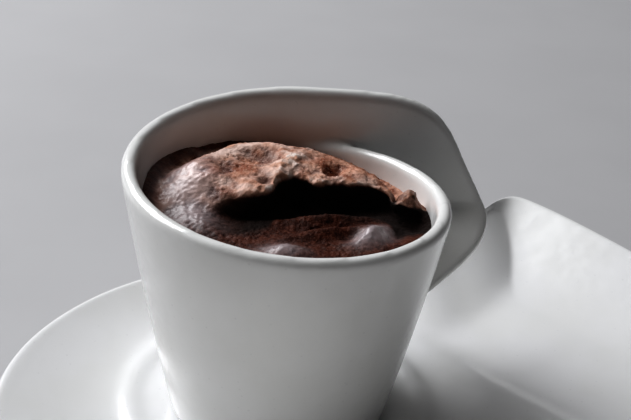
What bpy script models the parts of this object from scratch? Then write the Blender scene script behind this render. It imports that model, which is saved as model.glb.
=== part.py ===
"""Chocolate mousse in a white porcelain espresso cup, on its long wave-shaped saucer.

Frame: metres, +Z up, the origin on the table under the middle of the saucer's box, and
+X along the saucer's length. The cup stands nearer the saucer's round end. Its rim winds
down once round the cup, and at its high end the wall runs on as a ribbon, which turns
down and back to the body as the handle.
"""
import math

import bmesh
import bpy
import numpy as np

# --- driving dimensions (metres) ------------------------------------------------------
GAP = 0.0003                    # between touching pieces

CUP_HEIGHT = 0.0563             # at the rim's high end
RIM_FALL = 0.0116               # the rim winds down by this in one turn
CUP_SHOULDER = 0.055            # height at which the two radii below are given
CUP_RADIUS_BASE = 0.0218
CUP_RADIUS_TOP = 0.0325
CUP_BULGE = 0.00045             # how far the side bows out from a straight cone
WALL = 0.003
CUP_FLOOR = 0.0045              # inner floor above the table side of the foot
CUP_FOOT_WIDTH = 0.0032
CUP_FOOT_RECESS = 0.0012
CUP_INNER_FILLET = 0.007
CUP_TURN = math.radians(-26.0)  # the handle's side of the cup against the saucer's length
RIM_START = math.radians(90.0)  # where the rim is highest and the ribbon leaves
STEP_ANGLE = math.radians(1.5)  # the rim's two ends meet within this, inside the ribbon

SAUCER_WALL = 0.0032
SAUCER_FLOOR = 0.0055           # top of the flat floor under the cup
SAUCER_FOOT = (0.50, 0.56)      # the foot ring, as parts of the way out to the edge
FOOT_FLARE = 0.02               # how much further its sides reach where they join the shell
END_RISE = 0.0075               # lip of the round end over the floor
CORNER_RISE = 0.0116            # lip of the flared corner over the floor
FLANK_START = 0.66              # part of the way out where the lip starts to rise
WELL_RIDGE = (0.0300, 0.0024, 0.0009)   # radius, half width and height of the ridge round the cup
WAVE_AXIS = math.radians(23.0)  # the waves' crests lie square to this direction
WAVE_CREST = (0.033, 0.0065, 0.0018)    # distance from the cup's axis, half width, height
WAVE_TROUGH = (0.056, 0.013, -0.0012)
FOLD_SOFTNESS = 0.0016          # how broadly the fold towards the corner is rounded
SAUCER_TURNS = 68               # points round the outline
SAUCER_CENTRE = (0.022, -0.008)         # pole of the saucer's grid, from the cup's axis

CRUST_LEVEL = 0.0438            # height of the uncut top over the cup's base
SCOOP_LEVEL = 0.0430            # height of the spooned front
OVERHANG = 0.0012               # how far the broken edge of the crust leans over the front

# The broken edge of the crust, from left to right in the cup's own frame.
LIP_EDGE = (
    (-0.0300, -0.0070), (-0.0158, -0.0039), (-0.0084, -0.0019), (-0.0049, -0.0006),
    (-0.0024, 0.0048), (-0.0002, 0.0066), (0.0047, 0.0056), (0.0120, 0.0064), (0.0155, 0.0066),
    (0.0182, 0.0058), (0.0210, 0.0020), (0.0240, 0.0026), (0.0320, 0.0056),
)
# Where the mousse meets the wall: degrees round the cup and height over the cup's base.
WALL_CONTACT = (
    (-150.0, 0.0442), (-120.0, 0.0434), (-60.0, 0.0430), (-25.0, 0.0422), (-2.0, 0.0416),
    (5.0, 0.0432), (17.0, 0.0442), (28.0, 0.0426), (46.0, 0.0419), (62.0, 0.0423),
    (80.0, 0.0438), (110.0, 0.0452), (132.0, 0.0462), (152.0, 0.0472), (168.0, 0.0470),
    (182.0, 0.0458),
)
# Mounds and hollows: place, height, half width along and across, and turn in degrees.
CRUST_MOUNDS = (
    (-0.0195, 0.0060, 0.0022, 0.0078, 0.0066, 20.0),    # the smooth lobe at the left
    (-0.0080, 0.0175, 0.0012, 0.0090, 0.0040, 5.0),     # a fold along the back
    (-0.0012, 0.0105, 0.0011, 0.0085, 0.0028, 67.0),    # a ridge up from the lip
    (0.0086, 0.0118, -0.0018, 0.0024, 0.0030, -20.0),   # the spoon's nick
    (0.0210, 0.0180, -0.0026, 0.0110, 0.0110, 0.0),     # the top falls away at the right
)
SCOOP_MOUNDS = (
    (0.0060, 0.0030, -0.0018, 0.0190, 0.0056, 9.0),     # the hollow under the lip
    (-0.0180, -0.0062, 0.0016, 0.0058, 0.0034, -25.0),  # the front left swell
    (0.0160, -0.0080, 0.0022, 0.0044, 0.0026, 46.0),    # the sharp fold at the right
    (0.0003, -0.0168, 0.0020, 0.0046, 0.0030, 0.0),     # the mound at the front
    (0.0250, 0.0002, -0.0018, 0.0042, 0.0036, 0.0),     # the hollow at the wall
)

# The saucer's outline, from the cup's axis: round end, waisted back side, flared corner,
# slanting far end and plain front side.
SAUCER_OUTLINE = (
    (-0.0600, -0.0080), (-0.0555, 0.0120), (-0.0440, 0.0285), (-0.0270, 0.0400), (-0.0080, 0.0450),
    (0.0110, 0.0440), (0.0290, 0.0410), (0.0470, 0.0385), (0.0610, 0.0385), (0.0725, 0.0415),
    (0.0805, 0.0455), (0.0860, 0.0455), (0.0895, 0.0390), (0.0940, 0.0260), (0.0985, 0.0120),
    (0.1040, -0.0060), (0.1085, -0.0250), (0.1090, -0.0420), (0.1010, -0.0540), (0.0850, -0.0585),
    (0.0620, -0.0570), (0.0390, -0.0560), (0.0160, -0.0580), (-0.0080, -0.0600), (-0.0270, -0.0560),
    (-0.0440, -0.0445), (-0.0555, -0.0280),
)

# The ribbon, in the cup's own frame: its outer edge and its inner edge at each station,
# from inside the wall where it leaves, over the crease, to inside the wall where it returns.
RIBBON = (
    ((-0.0036, 0.03070, 0.0545), (-0.0033, 0.0281, 0.0390)),
    ((0.0000, 0.03097, 0.0548), (0.0000, 0.0283, 0.0388)),
    ((0.0080, 0.03125, 0.0548), (0.0055, 0.0286, 0.0385)),
    ((0.0160, 0.03180, 0.0545), (0.0100, 0.0293, 0.0382)),
    ((0.0225, 0.03230, 0.0535), (0.0140, 0.0301, 0.0374)),
    ((0.0280, 0.03250, 0.0510), (0.0168, 0.0309, 0.0361)),
    ((0.0320, 0.03260, 0.0466), (0.0188, 0.0315, 0.0346)),
    ((0.0354, 0.03260, 0.0402), (0.0202, 0.0319, 0.0330)),
    ((0.0388, 0.03260, 0.0341), (0.0211, 0.0321, 0.0314)),
    ((0.0410, 0.03180, 0.0302), (0.0214, 0.0316, 0.0302)),
    ((0.0413, 0.02910, 0.0282), (0.0212, 0.0293, 0.0284)),
    ((0.0400, 0.02500, 0.0260), (0.0206, 0.0262, 0.0260)),
    ((0.0369, 0.02130, 0.0234), (0.0196, 0.0232, 0.0232)),
    ((0.0328, 0.01810, 0.0207), (0.0184, 0.0208, 0.0205)),
    ((0.0284, 0.01520, 0.0181), (0.0170, 0.0192, 0.0179)),
    ((0.0240, 0.01290, 0.0157), (0.0160, 0.0181, 0.0158)),
    ((0.0206, 0.01140, 0.0140), (0.0152, 0.0176, 0.0144)),
)
RIBBON_ROOT = 0.80              # the ribbon's first section is this much of the wall


# --- small tools ----------------------------------------------------------------------
def clear_scene():
    for item in list(bpy.context.scene.objects):
        bpy.data.objects.remove(item, do_unlink=True)


def make_collection(name):
    collection = bpy.data.collections.new(name)
    bpy.context.scene.collection.children.link(collection)
    return collection


def make_material(name, colour, roughness):
    material = bpy.data.materials.new(name)
    material.use_nodes = True
    shader = material.node_tree.nodes["Principled BSDF"]
    shader.inputs["Base Color"].default_value = (*colour, 1.0)
    shader.inputs["Roughness"].default_value = roughness
    shader.inputs["Metallic"].default_value = 0.0
    return material


def smoothstep(value):
    value = np.clip(value, 0.0, 1.0)
    return value * value * (3.0 - 2.0 * value)


def hump(distance, half_width):
    """A bell of height 1 at distance 0 that has fallen to 1/e at the half width."""
    return np.exp(-((distance / half_width) ** 2))


def spline_points(points, count, closed):
    """Smooth curve through the points (Catmull-Rom), read at evenly spaced parameters."""
    points = np.asarray(points, dtype=float)
    spans = len(points) if closed else len(points) - 1
    place = np.linspace(0.0, spans, count, endpoint=not closed)
    span = np.minimum(place.astype(int), spans - 1)
    part = (place - span).reshape((-1,) + (1,) * (points.ndim - 1))

    def at(offset):
        index = span + offset
        index = index % len(points) if closed else np.clip(index, 0, len(points) - 1)
        return points[index]

    before, start, end, after = at(-1), at(0), at(1), at(2)
    return 0.5 * (2.0 * start + (end - before) * part
                  + (2.0 * before - 5.0 * start + 4.0 * end - after) * part ** 2
                  + (3.0 * start - before - 3.0 * end + after) * part ** 3)


def grid_mesh(name, grid, wrap, caps=False):
    """Mesh of a grid of points: rows run across, and wrap joins the last row to the first.

    Points that fall together are merged, so the two ends of a turned profile close on
    one point each. Caps close the first and last row of an open loft.
    """
    rows, columns = grid.shape[:2]
    mesh = bmesh.new()
    verts = [mesh.verts.new(point) for point in grid.reshape(-1, 3)]

    def vert(row, column):
        return verts[(row % rows) * columns + column % columns]

    across = columns if caps else columns - 1
    for row in range(rows if wrap else rows - 1):
        for column in range(across):
            mesh.faces.new((vert(row, column), vert(row, column + 1),
                            vert(row + 1, column + 1), vert(row + 1, column)))
    if caps:
        mesh.faces.new([vert(0, column) for column in range(columns)])
        mesh.faces.new([vert(rows - 1, column) for column in range(columns)])
    bmesh.ops.remove_doubles(mesh, verts=mesh.verts, dist=1e-7)
    bmesh.ops.recalc_face_normals(mesh, faces=mesh.faces)
    data = bpy.data.meshes.new(name)
    mesh.to_mesh(data)
    mesh.free()
    data.shade_smooth()
    data.set_sharp_from_angle(angle=math.radians(40.0))
    return data


def add_object(name, data, collection, material=None):
    item = bpy.data.objects.new(name, data)
    collection.objects.link(item)
    if material is not None:
        data.materials.append(material)
    return item


# --- cup --------------------------------------------------------------------------------
def cup_radius(height):
    part = height / CUP_SHOULDER
    cone = CUP_RADIUS_BASE + (CUP_RADIUS_TOP - CUP_RADIUS_BASE) * part
    return cone + CUP_BULGE * 4.0 * part * (1.0 - part)


def rim_height(angle):
    return CUP_HEIGHT - RIM_FALL * (angle - RIM_START) / (2.0 * math.pi)


def cup_profile(height, wall_rows=7, rim_rows=6, fillet_rows=4):
    """Radius and height down the middle of the foot, up outside, over the rim and in."""
    inner_foot = cup_radius(0.0) - CUP_FOOT_WIDTH
    foot = [(0.0, CUP_FOOT_RECESS), (inner_foot - 0.0012, CUP_FOOT_RECESS), (inner_foot, 0.0),
            (cup_radius(0.0) - 0.0009, 0.0), (cup_radius(0.0010), 0.0010)]
    centre = height - WALL / 2.0
    outer = [(cup_radius(z), z) for z in np.linspace(0.0010, centre, wall_rows + 1)[1:]]
    middle = cup_radius(centre) - WALL / 2.0
    turn = np.linspace(0.0, math.pi, rim_rows + 1)[1:]
    rim = [(middle + WALL / 2.0 * math.cos(a), centre + WALL / 2.0 * math.sin(a)) for a in turn]
    low = CUP_FLOOR + CUP_INNER_FILLET
    inner = [(cup_radius(z) - WALL, z) for z in np.linspace(centre, low, wall_rows + 1)[1:]]
    corner = cup_radius(low) - WALL - CUP_INNER_FILLET
    bend = np.linspace(0.0, math.pi / 2.0, fillet_rows + 1)[1:]
    fillet = [(corner + CUP_INNER_FILLET * math.cos(a), low - CUP_INNER_FILLET * math.sin(a))
              for a in bend]
    return np.array(foot + outer + rim + inner + fillet + [(0.0, CUP_FLOOR)])


def cup_body_mesh(turns=56):
    angles = np.linspace(RIM_START, RIM_START + 2.0 * math.pi - STEP_ANGLE, turns)
    columns = []
    for angle in angles:
        radius, height = cup_profile(rim_height(angle)).T
        columns.append(np.stack((radius * math.cos(angle), radius * math.sin(angle), height), 1))
    return grid_mesh("cup_body", np.array(columns), wrap=True)


def ribbon_section(outer, inner, along, thickness, end_rows=5):
    """Closed section of the ribbon: a flat strip with a half-round edge on each side."""
    across = inner - outer
    across /= np.linalg.norm(across)
    normal = np.cross(along, across)
    normal /= np.linalg.norm(normal)
    turn = np.linspace(0.0, math.pi, end_rows)
    half = thickness / 2.0
    first = [outer + half * (normal * math.cos(a) - across * math.sin(a)) for a in turn]
    second = [inner + half * (-normal * math.cos(a) + across * math.sin(a)) for a in turn]
    middle = [(first[-1] * (1.0 - f) + second[0] * f) for f in (1 / 3, 2 / 3)]
    back = [(second[-1] * (1.0 - f) + first[0] * f) for f in (1 / 3, 2 / 3)]
    return np.array(first + middle + second + back)


def ribbon_mesh(stations=40):
    edges = spline_points(RIBBON, stations, closed=False)
    middle = edges.mean(axis=1)
    along = np.gradient(middle, axis=0)
    root = smoothstep(np.linspace(0.0, 1.0, stations) / 0.05)
    sections = []
    for (outer, inner), direction, share in zip(edges, along, root):
        thickness = WALL * (RIBBON_ROOT + (1.02 - RIBBON_ROOT) * share)
        sections.append(ribbon_section(outer, inner, direction, thickness))
    return grid_mesh("cup_ribbon", np.array(sections), wrap=False, caps=True)


# --- saucer -----------------------------------------------------------------------------
def saucer_rise(x, y, out):
    """Height of the top over the floor, at a place and its part of the way out.

    The lip rises with the part of the way out. A fold runs from the cup to the flared
    corner, and the back side climbs away from it to the height of the lip.
    """
    from_cup = np.hypot(x, y)
    ridge_radius, ridge_width, ridge_height = WELL_RIDGE
    ridge = ridge_height * hump(from_cup - ridge_radius, ridge_width)
    along = x * math.cos(WAVE_AXIS) + y * math.sin(WAVE_AXIS)
    beside = smoothstep((from_cup - 0.031) / 0.014)
    crest = WAVE_CREST[2] * hump(along - WAVE_CREST[0], WAVE_CREST[1]) * beside
    trough = WAVE_TROUGH[2] * hump(along - WAVE_TROUGH[0], WAVE_TROUGH[1]) * beside
    far = smoothstep((x + 0.010) / 0.090)
    lip = END_RISE + (CORNER_RISE - END_RISE) * far * smoothstep((y + 0.050) / 0.090)
    climb = np.clip((out - FLANK_START) / (1.0 - FLANK_START), 0.0, 1.0)
    flank = climb ** 2 * (1.5 - 0.5 * climb)
    past = x - 0.045
    fold = 0.010 + 0.35 * past + 5.5 * past ** 2
    steep = 0.33 + 0.27 * smoothstep((x - 0.056) / 0.021)
    beyond = FOLD_SOFTNESS * np.logaddexp(0.0, (y - fold) / FOLD_SOFTNESS)
    back = np.minimum(steep * beyond, lip) * smoothstep((x - 0.030) / 0.022)
    return ridge + (crest + trough) * (1.0 - flank) + np.maximum(lip * flank, back)


def saucer_outline(turns=SAUCER_TURNS):
    return spline_points(SAUCER_OUTLINE, turns, closed=True)


def saucer_mesh(turns=SAUCER_TURNS, top_rows=12, under_rows=4):
    """Rows run from the pole over the top, round the lip and back under, past the foot.

    Each row is its part of the way out to the outline and its drop below the top; the
    foot's two rows have no drop, because they lie on the table.
    """
    outline = saucer_outline(turns)
    centre = np.array(SAUCER_CENTRE)
    reach = outline - centre
    edge = SAUCER_WALL / 2.0
    inset = edge / np.linalg.norm(reach, axis=1).mean()
    bend = np.linspace(0.0, math.pi, 5)
    foot_in, foot_out = SAUCER_FOOT
    top = [(part, 0.0) for part in 1.0 - (1.0 - np.linspace(0.0, 1.0, top_rows)) ** 1.25]
    lip = [(1.0 - inset * (1.0 - math.sin(a)), edge * (1.0 - math.cos(a))) for a in bend]
    under = np.linspace(1.0 - inset, foot_out + FOOT_FLARE, under_rows)[1:]
    under = [(part, SAUCER_WALL) for part in under]
    foot = [(foot_out, None), (foot_in, None)]
    middle = [(part, SAUCER_WALL) for part in (foot_in - FOOT_FLARE, foot_in / 2.0, 0.0)]
    rows = top[:-1] + lip + under + foot + middle
    grid = np.zeros((turns, len(rows), 3))
    for row, (out, drop) in enumerate(rows):
        place = centre + reach * out
        grid[:, row, :2] = place
        rise = saucer_rise(place[:, 0], place[:, 1], out)
        grid[:, row, 2] = 0.0 if drop is None else SAUCER_FLOOR + rise - drop
    return grid_mesh("saucer", grid, wrap=True)


def frame_shift():
    """Moves the cup's axis so that the saucer's box has the origin at its middle."""
    outline = saucer_outline()
    return -(outline.min(axis=0) + outline.max(axis=0)) / 2.0


# --- mousse -----------------------------------------------------------------------------
def mounds(x, y, rows):
    total = np.zeros_like(x)
    for at_x, at_y, height, half_x, half_y, turn in rows:
        c, s = math.cos(math.radians(turn)), math.sin(math.radians(turn))
        along, across = (x - at_x) * c + (y - at_y) * s, (y - at_y) * c - (x - at_x) * s
        total += height * np.exp(-(along / half_x) ** 2 - (across / half_y) ** 2)
    return total


def mousse_top(x, y):
    """Height of the mousse over the cup's base, and how far its point is pushed along y.

    The uncut crust and the spooned front are two heights, joined across the lip. Close to
    the wall both run out to the height at which the mousse meets it.
    """
    from_axis = np.hypot(x, y)
    behind = y - np.interp(x, *np.transpose(LIP_EDGE))
    sheer = smoothstep((x + 0.0175) / 0.011)
    soften = 0.0090 - 0.0056 * sheer
    share = smoothstep(0.5 + behind / (2.0 * soften))
    dome = 0.0040 * smoothstep((0.0285 - from_axis) / 0.011)
    crust = CRUST_LEVEL + dome + mounds(x, y, CRUST_MOUNDS)
    slope = 0.0470 + 0.34 * (x + 0.0215) + 0.42 * (y - 0.0021)      # the lobe's front left side
    crust = crust - 0.0006 * np.logaddexp(0.0, (crust - slope) / 0.0006)
    scoop = SCOOP_LEVEL + mounds(x, y, SCOOP_MOUNDS)
    height = scoop + (crust - scoop) * share
    angle = np.degrees(np.arctan2(y, x))
    contact = np.interp(angle, *np.transpose(WALL_CONTACT), period=360.0)
    height = height + (contact - height) * smoothstep((from_axis - 0.0235) / 0.0040)
    inside = 1.0 - smoothstep((from_axis - 0.021) / 0.005)
    push = OVERHANG * sheer * inside * (hump(behind + 0.0014, 0.0024) - hump(behind - 0.0018, 0.0026))
    return height, push


def mousse_mesh(turns=64, top_rows=19, side_rows=2):
    angles = np.linspace(0.0, 2.0 * math.pi, turns, endpoint=False)
    cosine, sine = np.cos(angles), np.sin(angles)
    grid = np.zeros((turns, top_rows + side_rows + 5, 3))
    reach = np.full(turns, cup_radius(CRUST_LEVEL) - WALL - GAP)
    for _ in range(4):
        level = mousse_top(reach * cosine, reach * sine)[0]
        reach = cup_radius(level) - WALL - GAP
    for row, out in enumerate(np.linspace(0.0, 1.0, top_rows)):
        x, y = reach * out * cosine, reach * out * sine
        height, push = mousse_top(x, y)
        grid[:, row] = np.stack((x, y + push, height), axis=1)
    low = CUP_FLOOR + CUP_INNER_FILLET
    for row in range(1, side_rows + 1):
        height = level + (low - level) * row / side_rows
        radius = cup_radius(height) - WALL - GAP
        grid[:, top_rows - 1 + row] = np.stack((radius * cosine, radius * sine, height), axis=1)
    fillet = CUP_INNER_FILLET - GAP
    corner = cup_radius(low) - WALL - CUP_INNER_FILLET
    for row, bend in enumerate(np.linspace(0.0, math.pi / 2.0, 5)[1:]):
        radius = corner + fillet * math.cos(bend)
        height = np.full(turns, low - fillet * math.sin(bend))
        grid[:, top_rows + side_rows + row] = np.stack((radius * cosine, radius * sine, height), axis=1)
    grid[:, -1] = (0.0, 0.0, CUP_FLOOR + GAP)
    return grid_mesh("mousse", grid, wrap=True)


# --- assembly ---------------------------------------------------------------------------
def main():
    clear_scene()
    parts = make_collection("chocolate_mousse")
    cutters = make_collection("cutters")
    porcelain = make_material("white_porcelain", (0.80, 0.80, 0.78), 0.15)
    chocolate = make_material("chocolate_mousse", (0.085, 0.036, 0.022), 0.45)

    saucer = add_object("saucer", saucer_mesh(), parts, porcelain)
    cup = add_object("cup", cup_body_mesh(), parts, porcelain)
    ribbon = add_object("ribbon_join", ribbon_mesh(), cutters)
    mousse = add_object("mousse", mousse_mesh(), parts, chocolate)

    shift = frame_shift()
    saucer.location = (*shift, 0.0)
    for item in (cup, mousse, ribbon):
        item.location = (*shift, SAUCER_FLOOR + GAP)
        item.rotation_euler = (0.0, 0.0, CUP_TURN)

    ribbon.hide_render = True
    ribbon.display_type = "WIRE"
    join = cup.modifiers.new("ribbon", "BOOLEAN")
    join.operation = "UNION"
    join.solver = "EXACT"
    join.object = ribbon


main()
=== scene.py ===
"""Looks of a spooned chocolate mousse in its porcelain cup, on its long wavy saucer.

The sections follow the things as they are set down: saucer, cup, mousse, then the table,
the window light and the camera. Lengths are metres unless a line says millimetres.
"""
import math

import bpy
import numpy as np
from mathutils import Matrix, Vector


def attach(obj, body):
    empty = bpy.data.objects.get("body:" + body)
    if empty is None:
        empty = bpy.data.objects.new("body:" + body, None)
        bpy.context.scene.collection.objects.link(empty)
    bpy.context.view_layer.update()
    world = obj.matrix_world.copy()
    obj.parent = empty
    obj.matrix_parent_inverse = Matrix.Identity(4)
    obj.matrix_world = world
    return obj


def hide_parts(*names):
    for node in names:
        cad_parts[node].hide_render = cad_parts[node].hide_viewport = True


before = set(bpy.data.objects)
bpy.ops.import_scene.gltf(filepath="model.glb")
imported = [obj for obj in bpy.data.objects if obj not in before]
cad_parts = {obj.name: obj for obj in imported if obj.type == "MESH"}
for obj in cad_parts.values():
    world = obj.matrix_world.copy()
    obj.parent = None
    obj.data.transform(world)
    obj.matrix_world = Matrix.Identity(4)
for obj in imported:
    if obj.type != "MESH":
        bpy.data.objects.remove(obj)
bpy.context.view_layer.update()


# --- saucer -----------------------------------------------------------------------------
# Thin hard porcelain, cast in one piece and glazed all over but for the foot ring. A flat
# floor carries the cup; past it the plate waves, and its far corner flares up.

SAUCER_WALL = 0.0032
SAUCER_FLOOR = 0.0055                   # top of the floor over the table
SAUCER_POLE = np.array((0.022, -0.008))     # middle of the turned grid, from the cup's axis
SAUCER_FOOT = (0.50, 0.56)              # the foot ring, as parts of the way out
ON_TABLE, FOOT_EDGE = SAUCER_FLOOR, SAUCER_FLOOR - 0.0004   # drops to the foot and its bevel
END_RISE, CORNER_RISE = 0.0075, 0.0116  # lip over the floor, at the round end and the corner
FLANK_START = 0.66                      # part of the way out where the lip starts to rise
WELL_RIDGE, WAVE_CREST, WAVE_TROUGH = 0.0009, 0.0018, 0.0012    # heights and depth of the waves
WAVE_AXIS = math.radians(23.0)          # the waves lie square to this
FOLD_SOFTNESS = 0.0016                  # over which the back side turns up out of the fold
SAUCER_OUTLINE = np.array((
    (-60.0, -8.0), (-55.5, 12.0), (-44.0, 28.5), (-27.0, 40.0), (-8.0, 45.0), (11.0, 44.0),
    (29.0, 41.0), (47.0, 38.5), (61.0, 38.5), (72.5, 41.5), (80.5, 45.5), (86.0, 45.5),
    (89.5, 39.0), (94.0, 26.0), (98.5, 12.0), (104.0, -6.0), (108.5, -25.0), (109.0, -42.0),
    (101.0, -54.0), (85.0, -58.5), (62.0, -57.0), (39.0, -56.0), (16.0, -58.0), (-8.0, -60.0),
    (-27.0, -56.0), (-44.0, -44.5), (-55.5, -28.0))) * 0.001


def smoothstep(value):
    """0 below 0, 1 above 1, and 3 v^2 - 2 v^3 between."""
    value = np.clip(value, 0.0, 1.0)
    return value * value * (3.0 - 2.0 * value)


def hump(distance, half_width):
    """exp(-(d / w)^2): a bell of height 1 whose half width is where it has fallen to 1/e."""
    return np.exp(-((distance / half_width) ** 2))


def spline(points, count, closed):
    """Catmull-Rom curve through the points, read at evenly spaced parameters."""
    spans = len(points) if closed else len(points) - 1
    place = np.linspace(0.0, spans, count, endpoint=not closed)
    span = np.minimum(place.astype(int), spans - 1)
    part = (place - span).reshape((-1,) + (1,) * (points.ndim - 1))
    four = []
    for offset in (-1, 0, 1, 2):
        index = span + offset
        index = index % len(points) if closed else np.clip(index, 0, len(points) - 1)
        four.append(points[index])
    before, start, end, after = four
    return 0.5 * (2.0 * start + (end - before) * part
                  + (2.0 * before - 5.0 * start + 4.0 * end - after) * part ** 2
                  + (3.0 * start - before - 3.0 * end + after) * part ** 3)


def soften_loop(points, reach):
    """Closed curve with each point averaged over its neighbours, weighted by a bell."""
    steps = np.arange(-3 * reach, 3 * reach + 1)
    weight = hump(steps, reach)
    return sum(w * np.roll(points, s, axis=0) for w, s in zip(weight / weight.sum(), steps))


def ring_solid(name, rings, first=None, last=None, caps=False):
    """Mesh of rings, an array of (row, turn, xyz), joined row to row and closed round.

    first and last close the ends on one point each; caps closes them with flat faces.
    Faces are turned outwards by the sign of the volume that they enclose.
    """
    rows, turns = rings.shape[:2]
    points = rings.reshape(-1, 3)
    row, turn = np.meshgrid(np.arange(rows - 1), np.arange(turns), indexing="ij")
    near, after = row * turns + turn, row * turns + (turn + 1) % turns
    quads = np.stack((near, after, after + turns, near + turns), axis=-1).reshape(-1, 4)
    loop = np.arange(turns)
    fans = []
    for pole, base, sign in ((first, 0, 1), (last, (rows - 1) * turns, -1)):
        if pole is not None:
            points = np.vstack((points, pole))
            ends = (base + loop, base + np.roll(loop, sign))
            fans.append(np.stack((*ends, np.full(turns, len(points) - 1)), axis=-1))
    tris = np.vstack(fans) if fans else np.zeros((0, 3), dtype=int)
    a, b, c, d = (points[quads[:, i]] for i in range(4))
    volume = np.einsum("ij,ij->i", a, np.cross(b, c) + np.cross(c, d)).sum()
    if volume < 0.0:
        quads, tris = quads[:, ::-1], tris[:, ::-1]
    faces = quads.tolist() + tris.tolist()
    if caps:
        turned = loop[::-1] if volume >= 0.0 else loop
        faces += [turned.tolist(), (turned[::-1] + (rows - 1) * turns).tolist()]
    mesh = bpy.data.meshes.new(name)
    mesh.from_pydata(points.tolist(), [], faces)
    mesh.polygons.foreach_set("use_smooth", np.ones(len(faces), dtype=bool))
    mesh.update()
    piece = bpy.data.objects.new(name, mesh)
    bpy.context.scene.collection.objects.link(piece)
    return piece


class Value:
    """A number that varies over a surface: a socket whose sums and products add Math nodes."""

    def __init__(self, paint, socket):
        self.paint, self.socket = paint, socket

    def math(self, operation, *others):
        inputs = {i: v for i, v in enumerate((self, *others))}
        return self.paint.node("ShaderNodeMath", {"operation": operation}, inputs).value()

    def __add__(self, other):
        return self.math("ADD", other)

    def __mul__(self, other):
        return self.math("MULTIPLY", other)

    def __sub__(self, other):
        return self.math("SUBTRACT", other)

    def __rsub__(self, other):
        return (self * -1.0) + other

    __radd__, __rmul__ = __add__, __mul__

    def ramp(self, low, high, start=0.0, end=1.0):
        """Smoothly from start to end as the value goes from low to high."""
        settings = {"interpolation_type": "SMOOTHSTEP"}
        inputs = {0: self, 1: low, 2: high, 3: start, 4: end}
        return self.paint.node("ShaderNodeMapRange", settings, inputs).value()


class Node:
    """A node just added, and its outputs."""

    def __init__(self, paint, node):
        self.paint, self.node = paint, node

    def value(self, name=0):
        return Value(self.paint, self.node.outputs[name])


class Paint:
    """One material: its shader, and one method that adds any other node."""

    def __init__(self, name, **constants):
        self.material = bpy.data.materials.new(name)
        self.material.use_nodes = True
        self.tree = self.material.node_tree
        self.shader = self.tree.nodes["Principled BSDF"]
        for socket, value in constants.items():
            self.shader.inputs[socket.replace("_", " ")].default_value = value
        self.place = self.node("ShaderNodeTexCoord", {}, {}).value("Object")

    def node(self, kind, settings, inputs):
        """Adds a node: its settings first, then the values or links of its sockets."""
        node = self.tree.nodes.new(kind)
        for key, value in settings.items():
            setattr(node, key, value)
        for key, value in inputs.items():
            self.feed(node.inputs[key], value)
        return Node(self, node)

    def feed(self, socket, value):
        if isinstance(value, Value):
            self.tree.links.new(value.socket, socket)
        elif isinstance(value, tuple) and len(value) == 3 and socket.type == "RGBA":
            socket.default_value = (*value, 1.0)
        else:
            socket.default_value = value

    def noise(self, per_metre, detail=2.0, roughness=0.5):
        """Cloudy pattern of that many lumps to a metre."""
        inputs = {"Vector": self.place, "Scale": per_metre, "Detail": detail,
                  "Roughness": roughness}
        return self.node("ShaderNodeTexNoise", {}, inputs).value()

    def cells(self, per_metre):
        """Distance from the nearest of that many scattered points to a metre."""
        inputs = {"Vector": self.place, "Scale": per_metre}
        return self.node("ShaderNodeTexVoronoi", {}, inputs).value("Distance")

    def mix(self, share, first, second):
        """The first colour where share is 0, the second where it is 1."""
        settings = {"data_type": "RGBA"}
        return self.node("ShaderNodeMix", settings, {0: share, 6: first, 7: second}).value(2)

    def bump(self, height, distance, strength=1.0):
        """Normal of a surface with that relief, whose full height is the distance."""
        inputs = {"Height": height, "Distance": distance, "Strength": strength}
        return self.node("ShaderNodeBump", {}, inputs).value()

    def surface(self, **links):
        """Joins what varies to the shader's sockets and returns the material."""
        for socket, value in links.items():
            self.feed(self.shader.inputs[socket.replace("_", " ")], value)
        return self.material


def glaze(name, white, dark_tone_and_shade, wave_scale, clear):
    """White porcelain under clear glaze: a faint drift of tone and a very faint roll."""
    paint = Paint(name, IOR=1.5, Coat_Weight=clear, Coat_Roughness=0.14, Coat_IOR=1.5)
    tone = paint.noise(wave_scale, detail=3.0).ramp(0.35, 0.65)
    speck = paint.cells(420.0).ramp(0.05, 0.12)
    colour = paint.mix(tone, dark_tone_and_shade, white)
    colour = paint.mix(speck, tuple(0.93 * c for c in white), colour)
    rough = paint.noise(9.0 * wave_scale, detail=2.0).ramp(0.3, 0.7, 0.18, 0.26)
    roll = paint.noise(4.0 * wave_scale, detail=1.0)
    fine = paint.noise(60.0 * wave_scale, detail=1.0)
    normal = paint.bump(roll + fine * 0.03, 0.00006)
    return paint.surface(Base_Color=colour, Roughness=rough, Normal=normal)


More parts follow.
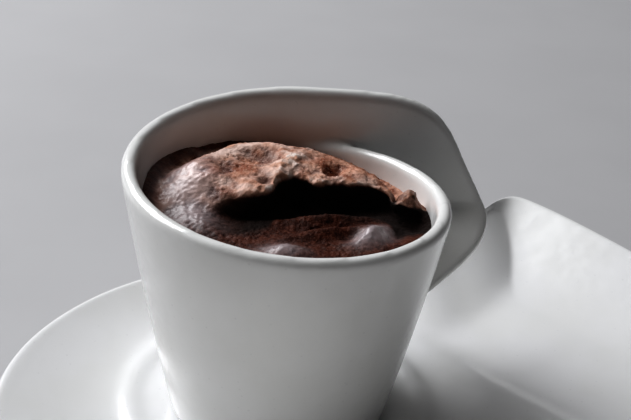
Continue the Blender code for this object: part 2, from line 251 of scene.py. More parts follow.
def saucer_top(x, y, out):
    """Height of the saucer's top over its floor.

    A low ridge circles the cup's foot, a crest and a trough lie square to WAVE_AXIS, the
    lip rises with out, the part of the way out, and a fold runs from the cup to the
    flared corner with the back side climbing away from it.
    """
    from_cup = np.hypot(x, y)
    ridge = WELL_RIDGE * hump(from_cup - 0.0300, 0.0024)
    along = x * math.cos(WAVE_AXIS) + y * math.sin(WAVE_AXIS)
    clear_of_cup = smoothstep((from_cup - 0.031) / 0.014)
    crest = WAVE_CREST * hump(along - 0.033, 0.0065)
    trough = WAVE_TROUGH * hump(along - 0.056, 0.013)
    far = smoothstep((x + 0.010) / 0.090)
    lip = END_RISE + (CORNER_RISE - END_RISE) * far * smoothstep((y + 0.050) / 0.090)
    climb = np.clip((out - FLANK_START) / (1.0 - FLANK_START), 0.0, 1.0)
    flank = climb ** 2 * (1.5 - 0.5 * climb)
    past = x - 0.045
    fold = 0.010 + 0.35 * past + 5.5 * past ** 2
    steep = 0.33 + 0.27 * smoothstep((x - 0.056) / 0.021)
    beyond = FOLD_SOFTNESS * np.logaddexp(0.0, (y - fold) / FOLD_SOFTNESS)
    back = np.minimum(steep * beyond, lip) * smoothstep((x - 0.030) / 0.022)
    rim = np.maximum(lip * flank, back)
    return ridge + (crest - trough) * clear_of_cup * (1.0 - flank) + rim


def saucer_shape(turns=360, top_rows=110, under_rows=24):
    """Rings from the middle of the top out to the lip, round it and back under the foot."""
    outline = soften_loop(spline(SAUCER_OUTLINE, turns, closed=True), 3)
    reach = outline - SAUCER_POLE
    edge = SAUCER_WALL / 2.0
    inset = edge / np.linalg.norm(reach, axis=1).mean()
    bend = np.linspace(0.0, math.pi, 15)
    foot_in, foot_out = SAUCER_FOOT
    rows = [(part, 0.0) for part in np.linspace(0.0, 1.0 - inset, top_rows)[1:-1]]
    rows += [(1.0 - inset * (1.0 - math.sin(a)), edge * (1.0 - math.cos(a))) for a in bend]
    rows += [(part, SAUCER_WALL)
             for part in np.linspace(1.0 - inset, foot_out + 0.02, under_rows)[1:]]
    rows += [(foot_out + 0.002, FOOT_EDGE), (foot_out, ON_TABLE), (foot_in, ON_TABLE),
             (foot_in - 0.002, FOOT_EDGE)]
    rows += [(part, SAUCER_WALL) for part in np.linspace(foot_in - 0.02, 0.0, 16)[:-1]]
    rings = np.zeros((len(rows), turns, 3))
    for ring, (out, drop) in zip(rings, rows):
        ring[:, :2] = SAUCER_POLE + reach * out
        ring[:, 2] = SAUCER_FLOOR + saucer_top(ring[:, 0], ring[:, 1], out) - drop
        if drop in (FOOT_EDGE, ON_TABLE):
            ring[:, 2] = SAUCER_FLOOR - drop
    middle = saucer_top(*SAUCER_POLE, 0.0) + SAUCER_FLOOR
    first = (*SAUCER_POLE, middle)
    last = (*SAUCER_POLE, middle - SAUCER_WALL)
    return rings, first, last


OUTLINE_BOX = spline(SAUCER_OUTLINE, 68, closed=True)
CUP_AXIS = -(OUTLINE_BOX.min(axis=0) + OUTLINE_BOX.max(axis=0)) / 2.0   # the cup's place
rings, first, last = saucer_shape()
SAUCER_PLACE = np.array((*CUP_AXIS, 0.0))
saucer = ring_solid("saucer_shell", rings + SAUCER_PLACE, first + SAUCER_PLACE,
                    last + SAUCER_PLACE)
saucer.data.materials.append(
    glaze("saucer_glaze", (0.80, 0.80, 0.805), (0.77, 0.77, 0.765), 45.0, 0.3))
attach(saucer, "root")
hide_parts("saucer")


# --- cup --------------------------------------------------------------------------------
# Slip-cast porcelain. The rim winds down once round the cup; at its high end the wall runs
# on as a ribbon, which turns down, folds and comes back to the body as the handle.

CUP_GAP = 0.0003                        # between the cup's foot and the saucer
CUP_TURN = math.radians(-26.0)
CUP_HEIGHT, RIM_FALL, CUP_SHOULDER = 0.0563, 0.0116, 0.055
CUP_RADIUS_BASE, CUP_RADIUS_TOP, CUP_BULGE = 0.0218, 0.0325, 0.00045
CUP_WALL, CUP_FLOOR, CUP_FILLET = 0.003, 0.0045, 0.007
CUP_FOOT_WIDTH, CUP_FOOT_RECESS = 0.0032, 0.0012
RIM_START, RIM_STEP = math.radians(90.0), math.radians(1.5)
# outer edge and inner edge of the ribbon, station by station, in the cup's own millimetres
RIBBON = np.array((
    ((-3.6, 30.70, 54.5), (-3.3, 28.1, 39.0)), ((0.0, 30.97, 54.8), (0.0, 28.3, 38.8)),
    ((8.0, 31.25, 54.8), (5.5, 28.6, 38.5)), ((16.0, 31.80, 54.5), (10.0, 29.3, 38.2)),
    ((22.5, 32.30, 53.5), (14.0, 30.1, 37.4)), ((28.0, 32.50, 51.0), (16.8, 30.9, 36.1)),
    ((32.0, 32.60, 46.6), (18.8, 31.5, 34.6)), ((35.4, 32.60, 40.2), (20.2, 31.9, 33.0)),
    ((38.8, 32.60, 34.1), (21.1, 32.1, 31.4)), ((41.0, 31.80, 30.2), (21.4, 31.6, 30.2)),
    ((41.3, 29.10, 28.2), (21.2, 29.3, 28.4)), ((40.0, 25.00, 26.0), (20.6, 26.2, 26.0)),
    ((36.9, 21.30, 23.4), (19.6, 23.2, 23.2)), ((32.8, 18.10, 20.7), (18.4, 20.8, 20.5)),
    ((28.4, 15.20, 18.1), (17.0, 19.2, 17.9)), ((24.0, 12.90, 15.7), (16.0, 18.1, 15.8)),
    ((20.6, 11.40, 14.0), (15.2, 17.6, 14.4)))) * 0.001


def cup_radius(height):
    """Outer radius: a straight cone with a slight outward bow between base and shoulder."""
    part = height / CUP_SHOULDER
    cone = CUP_RADIUS_BASE + (CUP_RADIUS_TOP - CUP_RADIUS_BASE) * part
    return cone + CUP_BULGE * 4.0 * part * (1.0 - part)


def cup_profile(top, wall_rows=44, rim_rows=14, fillet_rows=10):
    """Radius and height from the foot up the outside, over the half-round rim and in."""
    foot_inner = cup_radius(0.0) - CUP_FOOT_WIDTH
    foot = [(foot_inner - 0.0012, CUP_FOOT_RECESS), (foot_inner - 0.0003, 0.0003), (foot_inner, 0.0),
            (cup_radius(0.0) - 0.0009, 0.0), (cup_radius(0.0) - 0.0003, 0.0003)]
    centre = top - CUP_WALL / 2.0
    outer = [(cup_radius(z), z) for z in np.linspace(0.0010, centre, wall_rows)]
    middle = cup_radius(centre) - CUP_WALL / 2.0
    half = CUP_WALL / 2.0
    rim = [(middle + half * math.cos(a), centre + half * math.sin(a))
           for a in np.linspace(0.0, math.pi, rim_rows + 1)[1:]]
    low = CUP_FLOOR + CUP_FILLET
    inner = [(cup_radius(z) - CUP_WALL, z) for z in np.linspace(centre, low, wall_rows)[1:]]
    corner = cup_radius(low) - CUP_WALL - CUP_FILLET
    fillet = [(corner + CUP_FILLET * math.cos(a), low - CUP_FILLET * math.sin(a))
              for a in np.linspace(0.0, math.pi / 2.0, fillet_rows + 1)[1:]]
    return np.array(foot + outer + rim + inner + fillet)


def cup_body(turns=220):
    """The profile turned once, its rim falling evenly from the high end to the low end."""
    angles = np.linspace(RIM_START, RIM_START + 2.0 * math.pi - RIM_STEP, turns)
    tops = CUP_HEIGHT - RIM_FALL * (angles - RIM_START) / (2.0 * math.pi)
    profiles = np.array([cup_profile(top) for top in tops])
    radius, height = profiles[..., 0].T, profiles[..., 1].T
    rings = np.stack((radius * np.cos(angles), radius * np.sin(angles), height), axis=-1)
    return ring_solid("cup_body", rings, (0.0, 0.0, CUP_FOOT_RECESS), (0.0, 0.0, CUP_FLOOR))


def ribbon_strip(stations=170, edge_rows=10, flat_rows=16):
    """A flat strip with half-round edges, carried along its outer and its inner edge."""
    edges = spline(RIBBON, stations, closed=False)
    outer, inner = edges[:, 0], edges[:, 1]
    along = np.gradient(edges.mean(axis=1), axis=0)
    across = inner - outer
    across /= np.linalg.norm(across, axis=1, keepdims=True)
    normal = np.cross(along, across)
    normal /= np.linalg.norm(normal, axis=1, keepdims=True)
    half = CUP_WALL / 2.0 * 1.005
    turn = np.linspace(0.0, math.pi, edge_rows)
    first = [outer + half * (normal * math.cos(a) - across * math.sin(a)) for a in turn]
    second = [inner + half * (across * math.sin(a) - normal * math.cos(a)) for a in turn]
    share = np.linspace(0.0, 1.0, flat_rows + 2)[1:-1]
    front = [first[-1] * (1.0 - s) + second[0] * s for s in share]
    back = [second[-1] * (1.0 - s) + first[0] * s for s in share]
    loops = np.array(first + front + second + back).swapaxes(0, 1)
    return ring_solid("cup_ribbon", loops, caps=True)


def apply_modifiers(piece):
    """Keeps the mesh that the modifiers give, and removes them."""
    shape = bpy.context.evaluated_depsgraph_get()
    mesh = bpy.data.meshes.new_from_object(piece.evaluated_get(shape))
    piece.modifiers.clear()
    piece.data = mesh


def join(whole, part):
    """Fuses part into whole with an exact union and removes part."""
    union = whole.modifiers.new("union", "BOOLEAN")
    union.operation, union.solver, union.object = "UNION", "EXACT", part
    apply_modifiers(whole)
    bpy.data.objects.remove(part)


def set_down(piece):
    """Turns and lifts a piece from the cup's own frame to its place on the saucer."""
    lift = Matrix.Translation((*CUP_AXIS, SAUCER_FLOOR + CUP_GAP))
    piece.data.transform(lift @ Matrix.Rotation(CUP_TURN, 4, "Z"))


def blend_joints(piece, cell=0.00056, passes=10):
    """Even small faces all over, then a little smoothing, so that glaze fills the creases."""
    remesh = piece.modifiers.new("even", "REMESH")
    remesh.mode, remesh.voxel_size, remesh.use_smooth_shade = "VOXEL", cell, True
    smooth = piece.modifiers.new("smooth", "SMOOTH")
    smooth.factor, smooth.iterations = 0.5, passes
    apply_modifiers(piece)


cup = cup_body()
join(cup, ribbon_strip())
blend_joints(cup)
set_down(cup)
cup.data.materials.append(glaze("cup_glaze", (0.86, 0.86, 0.85), (0.835, 0.835, 0.82), 70.0, 0.5))
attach(cup, "root")
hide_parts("cup")


# --- mousse -----------------------------------------------------------------------------
# Whipped dark chocolate, set in the cup. Its top skin has dried to a paler, finely pitted
# crust; a spoon has taken the front away and left a torn lip over smooth, moist folds.

CRUST_LEVEL, SCOOP_LEVEL = 0.0438, 0.0430   # the uncut top at the wall, and the spooned front
DOME, OVERHANG = 0.0040, 0.0036         # rise of the crust, and reach of its torn lip
INTO_WALL = 0.00025                     # how far the mousse reaches into the porcelain
MOUSSE_CELLS = 296                      # grid cells across the top, both ways
LIP_EDGE = np.array((                   # torn edge of the crust in plan, from left to right
    (-30.0, -7.0), (-22.0, -5.4), (-15.8, -3.9), (-12.0, -3.1), (-8.4, -1.9), (-4.9, -0.6),
    (-3.4, 1.6), (-2.4, 4.8), (-0.2, 6.8), (1.9, 6.7), (4.7, 5.5), (8.6, 5.9), (12.0, 6.5),
    (15.5, 6.7), (18.6, 6.4), (19.9, 3.4), (21.0, 1.7), (24.0, 2.4), (28.0, 4.3), (32.0, 5.6))) * 0.001
WALL_CONTACT = np.array((               # degrees round the cup, millimetres over its foot
    (-150.0, 44.2), (-120.0, 43.4), (-60.0, 43.0), (-25.0, 43.0), (-2.0, 42.8), (5.0, 42.8),
    (14.0, 42.6), (25.0, 41.6), (46.0, 41.6), (62.0, 42.3), (80.0, 43.8), (110.0, 45.2),
    (132.0, 46.2), (152.0, 47.2), (168.0, 47.0), (182.0, 45.8)))
CRUST_MOUNDS = (                        # x, y, height, half widths, turn in degrees
    (-0.0195, 0.0060, 0.0022, 0.0078, 0.0066, 20.0),    # smooth lobe at the left
    (-0.0250, 0.0095, -0.0005, 0.0060, 0.0016, 68.0),   # groove between lobe and wall
    (-0.0080, 0.0175, 0.0012, 0.0090, 0.0040, 5.0),     # fold along the back
    (-0.0145, 0.0145, 0.0005, 0.0045, 0.0018, 35.0),
    (-0.0119, 0.0104, 0.0006, 0.0018, 0.0015, 0.0),
    (-0.0080, 0.0130, -0.0012, 0.0036, 0.0022, 20.0),   # shallow dents
    (-0.0138, 0.0068, -0.0008, 0.0034, 0.0020, 0.0),
    (-0.0012, 0.0105, 0.0011, 0.0085, 0.0028, 67.0),    # broken ridge up from the lip
    (0.0086, 0.0118, -0.0022, 0.0016, 0.0026, -20.0),   # spoon nick
    (0.0150, 0.0110, 0.0007, 0.0045, 0.0028, 0.0),
    (0.0210, 0.0180, -0.0026, 0.0110, 0.0110, 0.0),     # falls away at the right
    (0.0225, 0.0115, -0.0036, 0.0030, 0.0048, 20.0),    # gap before the clump at the wall
    (0.0205, 0.0055, -0.0024, 0.0009, 0.0034, -8.0),
    (0.0241, 0.0060, 0.0030, 0.0026, 0.0023, 15.0),     # broken clump at the right wall
    (-0.0049, 0.0028, -0.0024, 0.0011, 0.0010, 0.0))    # burst bubble on the lip
SCOOP_MOUNDS = (
    (0.0060, 0.0040, -0.0022, 0.0190, 0.0052, 9.0),     # floor of the hollow under the lip
    (-0.0180, -0.0062, 0.0016, 0.0058, 0.0034, -25.0),  # front left swell
    (-0.0145, -0.0098, 0.0006, 0.0030, 0.0018, -40.0),
    (0.0065, -0.0018, 0.0017, 0.0085, 0.0017, 14.0),    # first fold
    (0.0085, -0.0048, -0.0007, 0.0080, 0.0011, 20.0),
    (0.0075, -0.0074, 0.0013, 0.0090, 0.0016, 24.0),    # second fold
    (0.0160, -0.0080, 0.0028, 0.0044, 0.0023, 46.0),    # sharp fold at the right
    (0.0195, -0.0065, -0.0014, 0.0044, 0.0020, 46.0),
    (0.0120, -0.0082, -0.0010, 0.0026, 0.0024, 46.0),
    (0.0003, -0.0168, 0.0022, 0.0046, 0.0030, 0.0),     # mound at the front
    (0.0250, 0.0002, -0.0022, 0.0042, 0.0036, 0.0))     # hollow under the ledge


def mounds(x, y, rows):
    """Sum of bells, each with its own height, two half widths and a turn of its axes."""
    total = np.zeros_like(x)
    for at_x, at_y, height, half_x, half_y, turn in rows:
        c, s = math.cos(math.radians(turn)), math.sin(math.radians(turn))
        along, across = (x - at_x) * c + (y - at_y) * s, (y - at_y) * c - (x - at_x) * s
        total += height * np.exp(-(along / half_x) ** 2 - (across / half_y) ** 2)
    return total


def lumps(points, size, seed):
    """Smooth random lumps from -1 to 1: random values on a cubic lattice of that size,
    blended with a smoothstep weight along each axis."""
    values = np.random.default_rng(seed).uniform(-1.0, 1.0, (64, 64, 64))
    place = points / size + 1000.0
    cell = np.floor(place).astype(int)
    part = place - cell
    part = part * part * (3.0 - 2.0 * part)
    total = 0.0
    for corner in np.ndindex(2, 2, 2):
        i, j, k = ((cell + corner) % 64).transpose(-1, *range(cell.ndim - 1))
        weight = np.where(corner, part, 1.0 - part).prod(axis=-1)
        total = total + weight * values[i, j, k]
    return total


def lip_line(x):
    """Depth of the torn edge across the cup for each x, with small teeth where it is sheer."""
    edge = spline(LIP_EDGE, 400, closed=False)
    teeth = 0.00016 * np.sin(x / 0.00061 + 2.0 * np.sin(x / 0.0023)) + 0.00022 * np.sin(x / 0.0011)
    return np.interp(x, edge[:, 0], edge[:, 1]) + teeth * smoothstep((x + 0.016) / 0.004)


def mousse_top(x, y):
    """The mousse before its grain: place (x, y, z), and the share of crust from 0 to 1.

    Crust and spooned front are two heights, joined across the lip by a smoothstep. Near
    the join the lower points are pushed back and the upper points forward, so that the
    lip hangs over the hollow. A tilted plane takes the top off the smooth lobe at the left.
    Close to the wall both heights run out to the level of the contact.
    """
    from_axis = np.hypot(x, y)
    sheer = smoothstep((x + 0.0175) / 0.011)
    inside = 1.0 - smoothstep((from_axis - 0.0235) / 0.0040)
    overhang = OVERHANG * sheer * inside
    behind = y - lip_line(x) - 0.40 * overhang
    soften = 0.0080 - 0.0048 * sheer
    share = smoothstep(0.5 + behind / (2.0 * soften))
    y = y + overhang * (hump(behind + 0.0016, 0.0024) - hump(behind - 0.0016, 0.0024))

    dome = DOME * smoothstep((0.0285 - from_axis) / 0.011)
    crust = CRUST_LEVEL + dome + mounds(x, y, CRUST_MOUNDS)
    flat = 0.0470 + 0.34 * (x + 0.0215) + 0.42 * (y - 0.0021)
    crust = crust - 0.0006 * np.logaddexp(0.0, (crust - flat) / 0.0006)
    scoop = SCOOP_LEVEL + mounds(x, y, SCOOP_MOUNDS)
    height = scoop + (crust - scoop) * share
    angle = np.degrees(np.arctan2(y, x))
    contact = 0.001 * np.interp(angle, *WALL_CONTACT.T, period=360.0)
    at_wall = smoothstep((from_axis - 0.0240) / 0.0037)
    height = height + (contact - height) * at_wall
    return np.stack((x, y, height), axis=-1), share


def square_to_disc(u, v):
    """Concentric map: each square ring of the grid becomes a circle of the same share."""
    across = np.abs(u) >= np.abs(v)
    out = np.where(across, u, v)
    with np.errstate(divide="ignore", invalid="ignore"):
        angle = np.where(across, v / u, 2.0 - u / v) * (math.pi / 4.0)
    angle = np.nan_to_num(angle)
    return out * np.cos(angle), out * np.sin(angle)


def mousse_reach(angle):
    """Radius at which the top meets the wall, found by following the wall to its height."""
    reach = np.full_like(angle, cup_radius(CRUST_LEVEL) - CUP_WALL)
    for _ in range(5):
        x, y = reach * np.cos(angle), reach * np.sin(angle)
        reach = cup_radius(mousse_top(x, y)[0][..., 2]) - CUP_WALL + INTO_WALL
    return reach


def mousse_place(u, v):
    """The top at a point of the square grid, stretched out to the wall."""
    x, y = square_to_disc(u, v)
    reach = mousse_reach(np.arctan2(y, x))
    return mousse_top(x * reach, y * reach)


def mousse_grid(cells=MOUSSE_CELLS):
    """Grid of the top whose rows are spread evenly by arc length along each column."""
    even = np.linspace(-1.0, 1.0, cells + 1)
    u, v = np.meshgrid(even, even, indexing="ij")
    points, share = mousse_place(u, v)
    step = np.linalg.norm(np.diff(points, axis=1), axis=-1)
    length = np.concatenate((np.zeros((cells + 1, 1)), np.cumsum(step, axis=1)), axis=1)
    for column in range(1, cells):
        wanted = np.linspace(0.0, length[column, -1], cells + 1)
        v[column] = np.interp(wanted, length[column], even)
    return mousse_place(u, v)


def grid_normals(points):
    """Unit normals of the grid: the cross product of its two directions."""
    normal = np.cross(np.gradient(points, axis=0), np.gradient(points, axis=1))
    return normal / np.maximum(np.linalg.norm(normal, axis=-1, keepdims=True), 1e-12)


def pores(points, share, count, seed):
    """Depth of small burst bubbles: narrow bells round random points, most in the crust."""
    random = np.random.default_rng(seed)
    flat = points.reshape(-1, 3)
    odds = 0.25 + share.ravel()
    chosen = random.choice(len(flat), count, replace=False, p=odds / odds.sum())
    sizes = 0.00016 + 0.00034 * random.random(count) ** 3
    depth = np.zeros(len(flat))
    for centre, size in zip(flat[chosen], sizes):
        near = np.abs(flat[:, 0] - centre[0]) < 3.0 * size
        gap = flat[near] - centre
        depth[near] = np.maximum(depth[near], size * np.exp(-(gap * gap).sum(axis=1) / size ** 2))
    return depth.reshape(share.shape)


def mousse_relief(points, share):
    """How far each point stands out along its normal, and six masks for the material: crust, torn
    crumb, glossy patches that also carry a painted sheen, painted light, painted shade and relief
    height.
    """
    x, y = points[..., 0], points[..., 1]
    sheer = smoothstep((x + 0.0175) / 0.011)
    lip = sheer * hump(share - 0.93, 0.08) * hump(y - lip_line(x) - 0.0006, 0.0017)
    ridge = mounds(x, y, ((-0.0010, 0.0112, 1.0, 0.0080, 0.0027, 67.0),
                          (-0.0125, 0.0115, 0.7, 0.0030, 0.0014, 40.0)))
    ledge = mounds(x, y, ((0.0248, 0.0056, 1.0, 0.0040, 0.0030, 18.0),)) * smoothstep(
        (share - 0.6) / 0.3)
    patch = smoothstep(0.5 + 1.3 * lumps(points, 0.0022, 11) + 0.5 * lumps(points, 0.0009, 12))
    torn = (0.35 + 0.5 * patch) * lip + (0.2 + 0.8 * patch) * (ledge + ridge)
    torn = np.clip(torn, 0.0, 1.0)
    smooth = mounds(x, y, ((-0.0205, 0.0030, 1.3, 0.0052, 0.0066, 10.0),
                           (-0.0180, -0.0062, 0.7, 0.0058, 0.0034, -25.0),
                           (0.0158, -0.0080, 1.6, 0.0042, 0.0022, 46.0),
                           (0.0035, 0.0008, 0.45, 0.0050, 0.0008, 14.0),
                           (-0.0010, -0.0165, 0.9, 0.0040, 0.0026, 0.0)))
    # Smooth glossy patches: the material gives them a clear coat, and also paints a lavender sheen on
    # them that stands for the window's reflection.
    wet = np.clip(smooth, 0.0, 1.0) * (1.0 - torn)
    # Painted light: pale patches on the back-left crest, the ridge and the left of the lip, where the
    # crust faces the window. They are lightened in colour to stand for light and highlights.
    pale = mounds(x, y, ((-0.0130, 0.0145, 1.1, 0.0070, 0.0040, 25.0),
                         (-0.0105, 0.0010, 0.9, 0.0065, 0.0026, 15.0),
                         (-0.0010, 0.0120, 1.1, 0.0080, 0.0036, 67.0),
                         (-0.0100, 0.0185, 0.6, 0.0100, 0.0020, 5.0),
                         (0.0110, 0.0085, 0.5, 0.0080, 0.0016, 0.0)))
    painted_light = np.clip(pale, 0.0, 1.0) * smoothstep(0.55 + 0.9 * lumps(points, 0.0018, 14))
    # Painted shade: this mask darkens the hollow under the torn lip, the ledge at the right wall, the
    # burst bubble, the hollow under the ledge and the gaps beside the clump.
    under_lip = smoothstep((y - lip_line(x) + 0.0095) / 0.004) * sheer
    dark_tone_and_shade = (1.0 - smoothstep((share - 0.74) / 0.20)) * under_lip
    dark_tone_and_shade = dark_tone_and_shade + ledge * (0.30 + 0.5 * smoothstep(-0.1 - 2.0 * lumps(points, 0.0012, 13)))
    dark_tone_and_shade = dark_tone_and_shade + mounds(x, y, ((-0.0049, 0.0028, 1.2, 0.0008, 0.0007, 0.0),
                                (0.0255, -0.0005, 0.9, 0.0035, 0.0035, 0.0),
                                (0.0240, 0.0090, 0.35, 0.0060, 0.0040, 15.0),
                                (0.0203, 0.0040, 1.0, 0.0006, 0.0030, -8.0)))

    broad = 0.00036 * lumps(points, 0.0046, 1) + 0.00026 * lumps(points, 0.0021, 2)
    fine = 0.00013 * lumps(points, 0.0010, 3) + 0.00011 * lumps(points, 0.0005, 4)
    crumbs = 0.00022 * (1.0 - 1.6 * np.abs(lumps(points, 0.0014, 5)))
    crumbs = crumbs + 0.00018 * lumps(points, 0.0007, 6)
    crumbs = crumbs * (1.0 + 1.6 * ledge)
    streaks = 0.00014 * lumps(points * (1.0, 1.0, 0.3), 0.0006, 9)
    rings = np.sin(np.hypot(x + 0.0185, y - 0.0050) / 0.00017 + 2.0 * lumps(points, 0.002, 7))
    relief = broad * (0.35 + 0.65 * share) + fine * (1.0 - 0.55 * wet * share) + crumbs * torn
    relief = relief + streaks * lip + 0.00002 * rings * wet * share
    relief = relief - pores(points, share, 160, 8) * (1.0 - wet)
    high = 0.5 + (broad + fine + crumbs * torn) / 0.0008
    # Painted shade of the cup's left wall: the crust share is cut back on a band next to the wall, so
    # that the darker inside colour shows there.
    wall_shadow = smoothstep((np.hypot(x, y) - 0.0240) / 0.0035) * smoothstep((-x - 0.002) / 0.012)
    return relief, {"crust": share * (1.0 - 0.85 * wall_shadow), "torn": torn, "wet": wet,
                    "painted_light": painted_light * share, "dark_tone_and_shade": np.clip(dark_tone_and_shade, 0.0, 1.0),
                    "high": np.clip(high, 0.0, 1.0)}


def mousse_body():
    """Top grid with its relief, then the side down the wall and the rounded bottom."""
    points, share = mousse_grid()
    normal = grid_normals(points)
    relief, masks = mousse_relief(points, share)
    edge = 1.0 - np.linalg.norm(points[..., :2], axis=-1) / cup_radius(points[..., 2])
    fade = smoothstep((edge - 0.085) / 0.02)
    points = points + normal * (relief * fade)[..., None]

    side = MOUSSE_CELLS
    index = np.arange((side + 1) ** 2).reshape(side + 1, side + 1)
    quads = np.stack((index[:-1, :-1], index[1:, :-1], index[1:, 1:], index[:-1, 1:]), axis=-1)
    rim = np.concatenate((index[:-1, 0], index[-1, :-1], index[:0:-1, -1], index[0, :0:-1]))
    top = points.reshape(-1, 3)
    ring = top[rim]
    angle = np.arctan2(ring[:, 1], ring[:, 0])
    low = CUP_FLOOR + CUP_FILLET
    corner = cup_radius(low) - CUP_WALL - CUP_FILLET
    lower = []
    for part in (0.5, 1.0):
        height = ring[:, 2] * (1.0 - part) + low * part
        lower.append((cup_radius(height) - CUP_WALL + INTO_WALL, height))
    for bend in (30.0, 60.0, 90.0):
        radius = corner + CUP_FILLET * math.cos(math.radians(bend))
        height = low - CUP_FILLET * math.sin(math.radians(bend))
        lower.append((np.full_like(angle, radius), np.full_like(angle, height)))
    rings = [np.stack((r * np.cos(angle), r * np.sin(angle), z), axis=-1) for r, z in lower]
    count = len(rim)
    loops = [rim] + [len(top) + i * count + np.arange(count) for i in range(len(rings))]
    sides = [np.stack((b, np.roll(b, -1), np.roll(a, -1), a), axis=-1)
             for a, b in zip(loops[:-1], loops[1:])]
    base = len(top) + len(rings) * count
    fan = np.stack((np.full(count, base), np.roll(loops[-1], -1), loops[-1]), axis=-1)
    places = np.vstack((top, *rings, ((0.0, 0.0, CUP_FLOOR),)))
    mesh = bpy.data.meshes.new("mousse_body")
    faces = quads.reshape(-1, 4).tolist() + np.vstack(sides).tolist() + fan.tolist()
    mesh.from_pydata(places.tolist(), [], faces)
    mesh.polygons.foreach_set("use_smooth", np.ones(len(faces), dtype=bool))
    for name, mask in masks.items():
        layer = mesh.attributes.new(name, "FLOAT", "POINT")
        values = np.zeros(len(places))
        values[:len(top)] = mask.ravel()
        layer.data.foreach_set("value", values)
    mesh.update()
    piece = bpy.data.objects.new("mousse_body", mesh)
    bpy.context.scene.collection.objects.link(piece)
    return piece


def chocolate():
    """Set mousse: moist dark inside, paler dried skin, pale airy crumb where it has torn, with painted
    shade in its hollows and crevices, painted light and highlights where it faces the window, and a
    painted sheen on its glossy patches.
    """
    paint = Paint("whipped_chocolate", IOR=1.42, Specular_IOR_Level=0.25, Coat_Roughness=0.32,
                  Coat_IOR=1.5)
    crust, torn, wet, painted_light, dark_tone_and_shade, high = (
        paint.node("ShaderNodeAttribute", {"attribute_name": name}, {}).value("Fac")
        for name in ("crust", "torn", "wet", "painted_light", "dark_tone_and_shade", "high"))
    drift = paint.noise(190.0, detail=3.0, roughness=0.6).ramp(0.38, 0.62)
    cloud = paint.noise(520.0, detail=2.0).ramp(0.40, 0.62)
    speckle = paint.noise(2600.0, detail=2.0, roughness=0.7).ramp(0.50, 0.72)
    inside = paint.mix(cloud, (0.040, 0.0100, 0.0050), (0.080, 0.0230, 0.0120))
    inside = paint.mix(speckle * 0.6, inside, (0.20, 0.085, 0.058))
    # Painted shade: near black where the shade mask lies, under the lip and in the hollows.
    inside = paint.mix(dark_tone_and_shade, inside, (0.0170, 0.0105, 0.0090))
    skin = paint.mix(drift, (0.300, 0.108, 0.058), (0.600, 0.340, 0.245))
    # Painted shade: the skin darkens to deep brown in the low spots of its relief.
    skin = paint.mix(high.ramp(0.55, 0.10), skin, (0.105, 0.031, 0.017))
    skin = paint.mix(speckle * 0.5, skin, (0.78, 0.58, 0.49))
    # Pale airy crumb, lightest on its high points: partly its own colour, partly painted highlights.
    crumb = paint.mix(cloud * high, (0.560, 0.330, 0.240), (0.950, 0.870, 0.820))
    colour = paint.mix(crust.ramp(0.25, 0.95), inside, skin)
    # Painted light: the crust lightened to pale pink where it faces the window.
    colour = paint.mix(painted_light * 0.75, colour, (0.88, 0.70, 0.63))
    # Painted sheen: a lavender reflection of the window, painted on the glossy patches.
    colour = paint.mix(wet * 0.55, colour, (0.60, 0.53, 0.55))
    colour = paint.mix(torn, colour, crumb)
    # Painted shade again, laid over crust and crumb on the ledge and in the hollows.
    colour = paint.mix(dark_tone_and_shade, colour, inside)
    rough = 0.62 - 0.14 * crust + 0.3 * dark_tone_and_shade + 0.1 * (drift - 0.5) + 0.1 * torn
    grain = paint.noise(3400.0, detail=2.0, roughness=0.6)
    bubbles = paint.cells(1500.0).ramp(0.0, 0.5)
    height = grain * (1.0 - 0.6 * wet) + bubbles * 0.4 * (1.0 - wet)
    normal = paint.bump(height, 0.00016, strength=0.9)
    return paint.surface(Base_Color=colour, Roughness=rough, Coat_Weight=wet, Normal=normal)


mousse = mousse_body()
set_down(mousse)
mousse.data.materials.append(chocolate())
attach(mousse, "root")
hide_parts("mousse")


# --- table ------------------------------------------------------------------------------
# A plain pale matt board, far larger than the saucer, that only catches the shadows.

def table_board(reach=1.5, cells=40):
    """A flat square grid at height 0."""
    even = np.linspace(-reach, reach, cells + 1)
    x, y = np.meshgrid(even, even, indexing="ij")
    points = np.stack((x, y, np.zeros_like(x)), axis=-1).reshape(-1, 3)
    index = np.arange(len(points)).reshape(x.shape)
    quads = np.stack((index[:-1, :-1], index[1:, :-1], index[1:, 1:], index[:-1, 1:]), axis=-1)
    mesh = bpy.data.meshes.new("table")
    mesh.from_pydata(points.tolist(), [], quads.reshape(-1, 4).tolist())
    board = bpy.data.objects.new("table", mesh)
    bpy.context.scene.collection.objects.link(board)
    return board


table = table_board()
board = Paint("pale_board", Roughness=0.7)
fleck = board.noise(30.0).ramp(0.3, 0.7)
table.data.materials.append(board.surface(
    Base_Color=board.mix(fleck, (0.448, 0.445, 0.452), (0.458, 0.455, 0.462))))


# --- window light -----------------------------------------------------------------------
# One broad soft window behind the cup and to its left, a small weak lamp overhead, a faint
# strip low in front that stands for the pale table's glow, and a low even grey all round.

def at_cup(direction, distance, height=0.050):
    """Point at that distance from the cup's mouth, with the direction in the cup's frame."""
    turned = Matrix.Rotation(CUP_TURN, 3, "Z") @ Vector(direction).normalized()
    return Vector((*CUP_AXIS, height)) + turned * distance


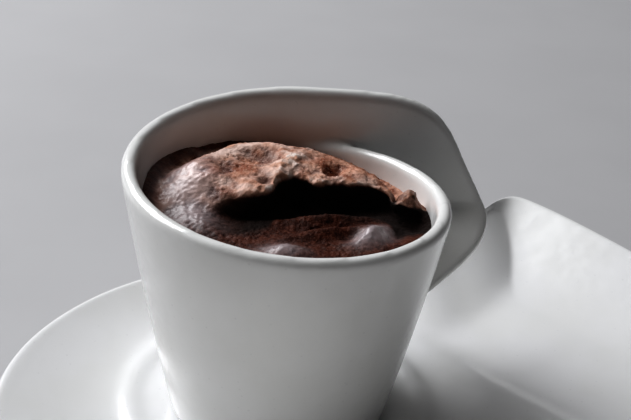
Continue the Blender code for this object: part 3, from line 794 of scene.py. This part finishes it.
def soft_light(name, direction, distance, size, power, colour, reflected=True, spread=180.0):
    """Rectangular lamp that faces the cup's mouth; spread is the angle of its beam."""
    light = bpy.data.lights.new(name, "AREA")
    light.shape, light.size, light.size_y = "RECTANGLE", *size
    light.energy, light.color = power, colour
    light.spread = math.radians(spread)
    lamp = bpy.data.objects.new(name, light)
    lamp.location = at_cup(direction, distance)
    aim = at_cup(direction, 0.0) - lamp.location
    lamp.rotation_mode = "QUATERNION"
    lamp.rotation_quaternion = aim.to_track_quat("-Z", "Y")
    lamp.visible_glossy = reflected
    bpy.context.scene.collection.objects.link(lamp)


soft_light("window", (-0.62, 0.42, 0.66), 1.10, (0.95, 0.75), 13.4, (0.97, 0.98, 1.0))
soft_light("overhead", (0.14, 0.30, 0.94), 1.00, (0.45, 0.25), 0.9, (1.0, 0.99, 0.98),
           reflected=False)
soft_light("low front", (-0.16, -0.96, -0.20), 0.17, (0.26, 0.02), 0.0068, (1.0, 0.99, 0.97),
           reflected=False, spread=50.0)
world = bpy.data.worlds.new("room")
world.use_nodes = True
room_grey = world.node_tree.nodes["Background"]
room_grey.inputs["Color"].default_value = (0.30, 0.30, 0.31, 1.0)
room_grey.inputs["Strength"].default_value = 0.04
bpy.context.scene.world = world
bpy.context.scene.view_settings.view_transform = "Standard"
bpy.context.scene.view_settings.look = "High Contrast"


# --- camera -----------------------------------------------------------------------------
# Looks down into the mouth of the cup from its front, near enough to fill the view.

CAMERA_ELEVATION, CAMERA_DISTANCE, CAMERA_HEIGHT = 26.53, 0.2649, 0.050
CAMERA_TURN, CAMERA_TILT, CAMERA_ROLL = -1.084, -1.150, 3.66    # degrees about its own axes
camera_data = bpy.data.cameras.new("camera")
camera_data.lens, camera_data.clip_start = 79.87, 0.01
camera = bpy.data.objects.new("camera", camera_data)
bpy.context.scene.collection.objects.link(camera)
stand = Matrix.Translation((*CUP_AXIS, SAUCER_FLOOR + CUP_GAP + CAMERA_HEIGHT))
stand = stand @ Matrix.Rotation(CUP_TURN, 4, "Z")
stand = stand @ Matrix.Rotation(math.radians(90.0 - CAMERA_ELEVATION), 4, "X")
stand = stand @ Matrix.Translation((0.0, 0.0, CAMERA_DISTANCE))
for degrees, axis in ((CAMERA_TURN, "Y"), (CAMERA_TILT, "X"), (CAMERA_ROLL, "Z")):
    stand = stand @ Matrix.Rotation(math.radians(degrees), 4, axis)
camera.matrix_world = stand
bpy.context.scene.camera = camera
